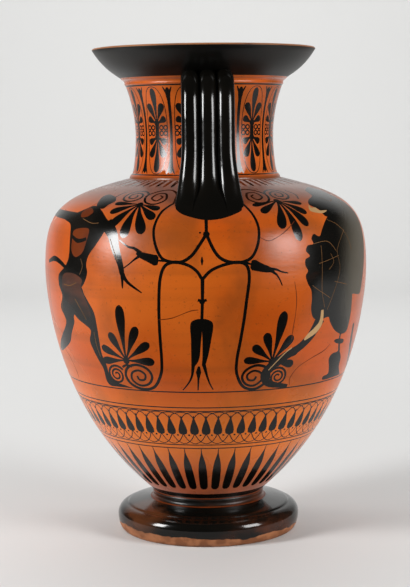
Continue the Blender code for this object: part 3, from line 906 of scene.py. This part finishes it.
def linear(code):
    """A colour code such as 'C8622A' as linear red, green, blue and alpha."""
    values = [int(code[i:i + 2], 16) / 255 for i in (0, 2, 4)]
    return tuple(v / 12.92 if v <= 0.04045 else ((v + 0.055) / 1.055) ** 2.4 for v in values) + (1.0,)


def add_node(tree, kind, settings=None, **links):
    """Add a node; settings are properties, links are input values or output sockets."""
    node = tree.nodes.new(kind)
    for name, value in (settings or {}).items():
        setattr(node, name, value)
    for name, value in links.items():
        number = name[0] == "i" and name[1:].isdigit()
        socket = node.inputs[int(name[1:]) if number else name.replace("_", " ")]
        if isinstance(value, bpy.types.NodeSocket):
            tree.links.new(value, socket)
        else:
            socket.default_value = value
    return node


def new_material(name):
    """An empty material, with its nodes and places on the object."""
    material = bpy.data.materials.new(name)
    material.use_nodes = True
    tree = material.node_tree
    tree.nodes.clear()
    place = add_node(tree, "ShaderNodeTexCoord").outputs["Object"]
    return material, tree, place


def noise(tree, place, scale, detail, stretch=(1, 1, 1)):
    """Cloudy pattern from nought to one, in object space."""
    mapping = add_node(tree, "ShaderNodeMapping", Vector=place, Scale=stretch)
    clouds = add_node(tree, "ShaderNodeTexNoise", Vector=mapping.outputs[0], Scale=scale, Detail=detail)
    return clouds.outputs["Fac"]


def maths(tree, operation, *values):
    """The result of one sum on patterns."""
    inputs = {f"i{index}": value for index, value in enumerate(values)}
    return add_node(tree, "ShaderNodeMath", {"operation": operation}, **inputs).outputs[0]


def zone(tree, level, near, far, strength):
    """A soft band of heights; near and far are where it sets in from either side."""
    return maths(tree, "MULTIPLY", between(tree, level, *near, 0.0, strength), between(tree, level, *far))


def level_of(tree, place):
    """Height above the ground."""
    return add_node(tree, "ShaderNodeSeparateXYZ", Vector=place).outputs["Z"]


def distance(tree, place, spot):
    """Distance from a spot on the pot."""
    node = add_node(tree, "ShaderNodeVectorMath", {"operation": "DISTANCE"}, i0=place, i1=spot)
    return node.outputs["Value"]


def between(tree, value, low, high, start=0.0, end=1.0):
    """A pattern spread out so that low gives start and high gives end."""
    return add_node(tree, "ShaderNodeMapRange", {"interpolation_type": "SMOOTHSTEP"},
                    i0=value, i1=low, i2=high, i3=start, i4=end).outputs[0]


def mixed(tree, share, first, second):
    """Two colours mixed by a pattern."""
    return add_node(tree, "ShaderNodeMix", {"data_type": "RGBA"}, i0=share, i6=first, i7=second).outputs[2]


def finish_material(tree, colour, roughness, bump, depth, shine, bloom=0.0):
    """Close a material with its shader; bloom is a soft paleness at grazing angles."""
    ridge = add_node(tree, "ShaderNodeBump", Strength=0.5, Distance=depth, Height=bump)
    shader = add_node(tree, "ShaderNodeBsdfPrincipled", Base_Color=colour, Roughness=roughness,
                      Normal=ridge.outputs[0], Specular_IOR_Level=shine, Sheen_Weight=bloom,
                      Sheen_Roughness=0.4)
    add_node(tree, "ShaderNodeOutputMaterial", Surface=shader.outputs[0])


# Shine and paleness of the coats, the spot on the foot where the slip is worn, and the spot on the belly where
# a grey sheen is painted on the slip
CLAY_SHINE = 0.24
CLAY_BLOOM = 0.30
THIN_COAT_SHINE = 0.10
SLIP_SHINE = 0.32
WORN_SPOT = (-0.050, -0.040, 0.028)
PAINTED_SHEEN_SPOT = (0.128, -0.020, 0.225)


def clay_material(name, base, pale, dark, roughness):
    """Iron-rich potter's clay, fired orange and burnished, with soft clouds, smudges and specks.

    The shoulder under the neck is painted darker as painted shade, and a band of the lower body is painted
    lighter and warmer as painted light.
    """
    material, tree, place = new_material(name)
    cloud = between(tree, noise(tree, place, 9, 5), 0.35, 0.70)
    smudge = between(tree, noise(tree, place, 22, 7, (1, 1, 0.7)), 0.46, 0.70, 0.0, 0.72)
    wheel = between(tree, noise(tree, place, 3, 3, (1, 1, 34)), 0.45, 0.75, 0.0, 0.35)
    specks = between(tree, noise(tree, place, 420, 2), 0.63, 0.75, 0.0, 0.65)
    colour = mixed(tree, cloud, base, pale)
    for pattern in (smudge, wheel, specks):
        colour = mixed(tree, pattern, colour, dark)
    level = level_of(tree, place)
    # Painted shade: the shoulder from about 272 mm up to the neck's fillet is darkened towards dark brown.
    painted_shade_on_shoulder = zone(tree, level, (0.272, 0.298), (0.306, 0.302), 0.78)
    # Painted light: a band of the lower body, from about 50 to 150 mm up, is made lighter and warmer.
    painted_light_low = zone(tree, level, (0.150, 0.100), (0.050, 0.090), 0.6)
    colour = mixed(tree, painted_shade_on_shoulder, colour, linear("4E2C14"))
    colour = mixed(tree, painted_light_low, colour, linear("F07E14"))
    roughness = between(tree, cloud, 0.0, 1.0, roughness, roughness + 0.10)
    grain = noise(tree, place, 160, 4, (1, 1, 2.5))
    finish_material(tree, colour, roughness, grain, 0.00018, CLAY_SHINE, CLAY_BLOOM)
    return material


def slip_material(name, slip, thin_from, thin_to, gloss, edge=None, sheen_spot=None):
    """Black gloss slip, brushed on; it fires brown where the coat is thin.

    Below the edge's level, if one is given, the coat ends raggedly on bare clay.
    Round the sheen spot, if one is given, a grey patch is painted on the coat as a painted sheen, and the coat
    is rougher there.
    """
    material, tree, place = new_material(name)
    cloud = noise(tree, place, 14, 5)
    thin = between(tree, noise(tree, place, 11, 6, (1, 1, 2.2)), thin_from, thin_to, 0.0, 0.8)
    colour = mixed(tree, between(tree, cloud, 0.45, 0.75), slip, linear("15100B"))
    colour = mixed(tree, thin, colour, linear("5E2E16"))
    roughness = between(tree, cloud, 0.3, 0.7, gloss, gloss + 0.10)
    # Painted sheen: a grey patch round the spot, on a rougher coat.
    if sheen_spot:
        ragged = maths(tree, "MULTIPLY_ADD", cloud, 0.03, distance(tree, place, sheen_spot))
        sheen_and_wear_patch = between(tree, ragged, 0.090, 0.050)
        colour = mixed(tree, sheen_and_wear_patch, colour, linear("4E483D"))
        roughness = maths(tree, "MULTIPLY_ADD", sheen_and_wear_patch, 0.30, roughness)
    if edge:
        ragged = maths(tree, "MULTIPLY_ADD", noise(tree, place, 38, 6), 0.012, level_of(tree, place))
        coat = between(tree, ragged, edge + 0.0058, edge + 0.0066)
        scuffs = between(tree, noise(tree, place, 90, 5), 0.45, 0.62)
        colour = mixed(tree, coat, mixed(tree, scuffs, linear("9C6440"), linear("7C4A2A")), colour)
        streaks = between(tree, noise(tree, place, 30, 5, (1, 1, 4)), 0.38, 0.60)
        sheen_and_wear_patch = maths(tree, "MULTIPLY", between(tree, distance(tree, place, WORN_SPOT), 0.034, 0.016), streaks)
        colour = mixed(tree, sheen_and_wear_patch, colour, linear("4C2A16"))
        roughness = between(tree, coat, 0.0, 1.0, 0.55, gloss)
    brush = noise(tree, place, 60, 3, (1, 1, 3))
    finish_material(tree, colour, roughness, brush, 0.00003 if edge else 0.00014, SLIP_SHINE)
    return material


def plain_material(name, first, second, roughness):
    """A thin coat of one colour, a little uneven."""
    material, tree, place = new_material(name)
    cloud = between(tree, noise(tree, place, 40, 4), 0.35, 0.70)
    colour = mixed(tree, cloud, first, second)
    finish_material(tree, colour, roughness, noise(tree, place, 200, 3), 0.00012, THIN_COAT_SHINE)
    return material


def pot_materials(settings):
    """The pot's materials in the order of their numbers."""
    clay, slip, white, red = ((*getattr(settings, name), 1) for name in ("clay", "slip", "white", "red"))
    return [
        clay_material("fired_orange_clay", clay, linear("C75E12"), linear("84400F"), 0.24),
        slip_material("black_gloss_slip", slip, 0.66, 0.80, 0.14, sheen_spot=PAINTED_SHEEN_SPOT),
        clay_material("bare_clay_edge", linear("8C5530"), linear("A47048"), linear("5E3520"), 0.55),
        plain_material("incised_line", linear("80582F"), linear("604224"), 0.55),
        plain_material("added_white", white, linear("A07C52"), 0.60),
        plain_material("added_red", red, linear("6A2E10"), 0.34),
        clay_material("inside_clay", linear("9A5026"), linear("A9602F"), linear("6E3519"), 0.70),
        slip_material("thin_brown_slip", slip, 0.40, 0.58, 0.28),
        slip_material("worn_slip_on_foot", slip, 0.56, 0.74, 0.13, 0.0078),
        slip_material("brushed_slip_on_mouth", slip, 0.60, 0.78, 0.32),
        slip_material("gloss_slip_on_handles", slip, 0.64, 0.80, 0.09),
    ]


def shade_wall(mesh, count):
    """Give the first corners of the mesh the normals of the wall's true curve, so paint shades evenly."""
    normals = []
    for vertex in mesh.vertices:
        x, y, height = vertex.co
        radius = math.hypot(x, y)
        normal = vertex.normal.copy()
        if vertex.index < count and COLLAR_TOP < height < MOUTH_LINE[0][1] and radius > NECK_WAIST_RADIUS / 2:
            length = WALL.length_of(height)
            if abs(WALL.at(length)[0] - radius) < ON_WALL:
                above, below = WALL.at(length - NORMAL_REACH), WALL.at(length + NORMAL_REACH)
                fall, widen = above[1] - below[1], below[0] - above[0]
                normal = Vector((x / radius * fall, y / radius * fall, widen)).normalized()
        normals.append(normal)
    mesh.normals_split_custom_set_from_vertices(normals)


def colour_choice(name, description, code):
    """A colour that the user may change; code is its first value."""
    return bpy.props.FloatVectorProperty(name=name, description=description, subtype="COLOR", size=3,
                                         min=0.0, max=1.0, default=linear(code)[:3])


def length_choice(name, description, default, low, high):
    """A length that the user may change, in metres."""
    return bpy.props.FloatProperty(name=name, description=description, default=default, min=low, max=high,
                                   precision=4, subtype="DISTANCE", unit="LENGTH")


def power_choice(name, description, default):
    """A light's power that the user may change, in watts."""
    return bpy.props.FloatProperty(name=name, description=description, default=default, min=0.0,
                                   subtype="POWER", unit="POWER")


class AmphoraPotSettings(bpy.types.PropertyGroup):
    """Choices for the pot"""
    painted: bpy.props.BoolProperty(name="Painted", description="Paint the ornament on the wall", default=True)
    bands: bpy.props.BoolProperty(
        name="Bands", description="Paint the chain of buds and the rays", default=True)
    wall: length_choice(
        "Wall thickness", "Thickness of the clay between outside and hollow", 0.0055, 0.003, 0.009)
    reed: length_choice("Reed radius", "Half the width of one reed of a handle", 0.0073, 0.0071, 0.0085)
    clay: colour_choice("Clay", "Colour of the fired clay", "B84C07")
    slip: colour_choice("Slip", "Colour of the black gloss slip", "090806")
    white: colour_choice("White", "Colour of the added white", "B89468")
    red: colour_choice("Red", "Colour of the added red", "562208")


class AmphoraStageSettings(bpy.types.PropertyGroup):
    """Choices for the stage"""
    left_power: power_choice("Left light", "Power of the soft box on the left", 30.0)
    right_power: power_choice("Right light", "Power of the soft box on the right", 23.5)
    back_power: power_choice("Back light", "Power of the soft box over the paper", 50.0)
    sky: bpy.props.FloatProperty(
        name="Room light", description="Strength of the even light of the room", default=0.05, min=0.0)
    paper: colour_choice("Paper", "Colour of the studio paper", "D5D5D4")


# Bands of the wall from the rim down: top in millimetres, material or painting, and its own step if any
WALL_BANDS = (
    (408.6, MOUTH), (385.5, CLAY, RIDGE_STEP), (379.2, BLACK),
    (378, neck_zone), (305.8, BLACK), (304.9, CLAY, FILLET_STEP),
    (301.5, picture_zone), (137.3, BLACK), (136.3, CLAY), (123.9, BLACK), (123, CLAY), (120.7, BLACK),
    (119.8, chain_zone), (90.4, BLACK), (89.5, CLAY), (87.2, BLACK),
    (86.3, ray_zone), (39.5, BLACK),
    (34.5, None),
)


def smooth_mesh(name, work, materials):
    """Turn a bmesh into a smooth-shaded mesh with its materials."""
    for face in work.faces:
        face.smooth = True
    mesh = bpy.data.meshes.new(name)
    work.to_mesh(mesh)
    work.free()
    for material in materials:
        mesh.materials.append(material)
    return mesh


def put(name, data):
    """Add an object to the scene."""
    item = bpy.data.objects.new(name, data)
    bpy.context.scene.collection.objects.link(item)
    return item


def build_pot(settings):
    """The whole pot as one object."""
    work = bmesh.new()
    work.loops.layers.uv.new(LAYOUT)
    lathe(work, rim_line(settings.wall), BARE, RIM_ROWS, False)
    for (top, kind, *step), (bottom, *_) in zip(WALL_BANDS, WALL_BANDS[1:]):
        if callable(kind):
            shown = settings.painted and (settings.bands or kind not in (chain_zone, ray_zone))
            painted_strip(work, top, bottom, kind() if shown else [])
        else:
            wall_strip(work, top, bottom, kind, *step)
    foot = foot_line()
    coats = ((0, 1, RED), (1, 7, THIN), (7, 8, RED), (8, 31, WORN), (31, len(foot) - 1, BARE))
    lathe_slices(work, foot, coats, FOOT_ROWS)
    inside = inside_line(settings.wall)
    lathe_slices(work, inside, ((0, 8, BLACK), (8, len(inside) - 1, INSIDE)), INSIDE_ROWS, False)
    bmesh.ops.remove_doubles(work, verts=work.verts, dist=MERGE)
    wall_count = len(work.verts)
    handle(work, -1, settings.reed)
    handle(work, 1, settings.reed)
    mesh = smooth_mesh("amphora_pot", work, pot_materials(settings))
    shade_wall(mesh, wall_count)
    pot = put("amphora_pot", mesh)
    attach(pot, "root")
    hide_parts("amphora")


def paper_material(colour):
    """Matt white studio paper."""
    material, tree, place = new_material("studio_paper")
    shader = add_node(tree, "ShaderNodeBsdfPrincipled", Base_Color=tuple(colour) + (1.0,), Roughness=0.9)
    add_node(tree, "ShaderNodeOutputMaterial", Surface=shader.outputs[0])
    return material


def soft_box(name, spot, aim, size, power, mirrored=True):
    """A rectangular light that faces a point; one that isn't mirrored leaves no highlight on the glaze."""
    lamp = bpy.data.lights.new(name, "AREA")
    lamp.shape = "RECTANGLE"
    lamp.size, lamp.size_y = size
    lamp.energy = power
    box = put(name, lamp)
    box.location = spot
    box.visible_glossy = mirrored
    box.rotation_euler = (Vector(aim) - Vector(spot)).to_track_quat("-Z", "Y").to_euler()


# Paper sweep: front edge, start of its bend, radius of the bend, top and half width
SWEEP_FRONT = -0.24
SWEEP_BEND = 1.9
SWEEP_RADIUS = 0.8
SWEEP_TOP = 3
SWEEP_HALF_WIDTH = 2.6
BEND_STEPS = 16

# Where the lights stand, their sizes and what they face; where the camera stands, its tilt and roll in degrees
POT_MIDDLE = (0, 0, 0.30)
LEFT_SPOT = (-1.41, -0.64, 0.71)
LEFT_SIZE = (0.44, 0.62)
RIGHT_SPOT = (1.31, -0.85, 0.64)
RIGHT_SIZE = (0.60, 0.62)
BACK_SPOT = (0, 0.95, 2.05)
BACK_SIZE = (2.8, 1.0)
BACK_AIM = (0, 2.4, 0.4)
CAMERA_SPOT = (0, -1.33005, 0.34406)
CAMERA_TILT = 6.0815
CAMERA_ROLL = -0.6
CAMERA_LENS = 95.755
CAMERA_SHIFT = -0.0018


def paper_sweep(settings):
    """Paper that lies under the pot and bends up behind it."""
    work = bmesh.new()
    line = [(SWEEP_FRONT, 0), (SWEEP_BEND, 0)]
    for index in range(1, BEND_STEPS + 1):
        turn = 0.5 * math.pi * index / BEND_STEPS
        line.append((SWEEP_BEND + SWEEP_RADIUS * math.sin(turn), SWEEP_RADIUS * (1 - math.cos(turn))))
    line.append((SWEEP_BEND + SWEEP_RADIUS, SWEEP_TOP))
    edge = [work.verts.new((-SWEEP_HALF_WIDTH, depth, height)) for depth, height in line]
    edges = [work.edges.new((a, b)) for a, b in zip(edge, edge[1:])]
    swept = bmesh.ops.extrude_edge_only(work, edges=edges)["geom"]
    far = [item for item in swept if isinstance(item, bmesh.types.BMVert)]
    bmesh.ops.translate(work, vec=(2 * SWEEP_HALF_WIDTH, 0, 0), verts=far)
    bmesh.ops.recalc_face_normals(work, faces=work.faces)
    floor = put("paper_sweep", smooth_mesh("paper_sweep", work, [paper_material(settings.paper)]))


def build_stage(settings):
    """Paper sweep, three soft boxes, room light and camera."""
    scene = bpy.context.scene
    paper_sweep(settings)
    soft_box("left_soft_box", LEFT_SPOT, POT_MIDDLE, LEFT_SIZE, settings.left_power)
    soft_box("right_soft_box", RIGHT_SPOT, POT_MIDDLE, RIGHT_SIZE, settings.right_power)
    soft_box("back_soft_box", BACK_SPOT, BACK_AIM, BACK_SIZE, settings.back_power, False)
    world = bpy.data.worlds.new("room")
    world.use_nodes = True
    background = world.node_tree.nodes["Background"]
    background.inputs["Color"].default_value = linear("FFFDF8")
    background.inputs["Strength"].default_value = settings.sky
    scene.world = world
    scene.view_settings.view_transform = "Standard"
    lens = bpy.data.cameras.new("camera")
    lens.lens = CAMERA_LENS
    lens.sensor_width = 36
    lens.shift_x = CAMERA_SHIFT
    camera = put("camera", lens)
    camera.location = CAMERA_SPOT
    tilt = Matrix.Rotation(math.radians(90 - CAMERA_TILT), 4, "X")
    roll = Matrix.Rotation(math.radians(CAMERA_ROLL), 4, "Z")
    camera.rotation_euler = (tilt @ roll).to_euler()
    scene.camera = camera


class AMPHORA_OT_pot(bpy.types.Operator):
    """Build the painted pot with its handles"""
    bl_idname = "amphora.pot"
    bl_label = "Build pot"

    def execute(self, context):
        build_pot(context.scene.amphora_pot)
        return {"FINISHED"}


class AMPHORA_OT_stage(bpy.types.Operator):
    """Build the paper sweep, the lights and the camera"""
    bl_idname = "amphora.stage"
    bl_label = "Build stage"

    def execute(self, context):
        build_stage(context.scene.amphora_stage)
        return {"FINISHED"}


class AMPHORA_PT_panel(bpy.types.Panel):
    """Amphora tools"""
    bl_idname = "AMPHORA_PT_panel"
    bl_label = "Amphora"
    bl_space_type = "VIEW_3D"
    bl_region_type = "UI"
    bl_category = "Amphora"

    def draw(self, context):
        column = self.layout.column()
        for name in ("painted", "bands", "wall", "reed", "clay", "slip", "white", "red"):
            column.prop(context.scene.amphora_pot, name)
        column.operator("amphora.pot")
        for name in ("left_power", "right_power", "back_power", "sky", "paper"):
            column.prop(context.scene.amphora_stage, name)
        column.operator("amphora.stage")


CLASSES = (AmphoraPotSettings, AmphoraStageSettings, AMPHORA_OT_pot, AMPHORA_OT_stage, AMPHORA_PT_panel)


def register():
    for item in CLASSES:
        bpy.utils.register_class(item)
    bpy.types.Scene.amphora_pot = bpy.props.PointerProperty(type=AmphoraPotSettings)
    bpy.types.Scene.amphora_stage = bpy.props.PointerProperty(type=AmphoraStageSettings)


def unregister():
    del bpy.types.Scene.amphora_stage
    del bpy.types.Scene.amphora_pot
    for item in reversed(CLASSES):
        bpy.utils.unregister_class(item)


def main():
    register()
    bpy.ops.amphora.pot()
    bpy.ops.amphora.stage()


if __name__ == "__main__":
    main()
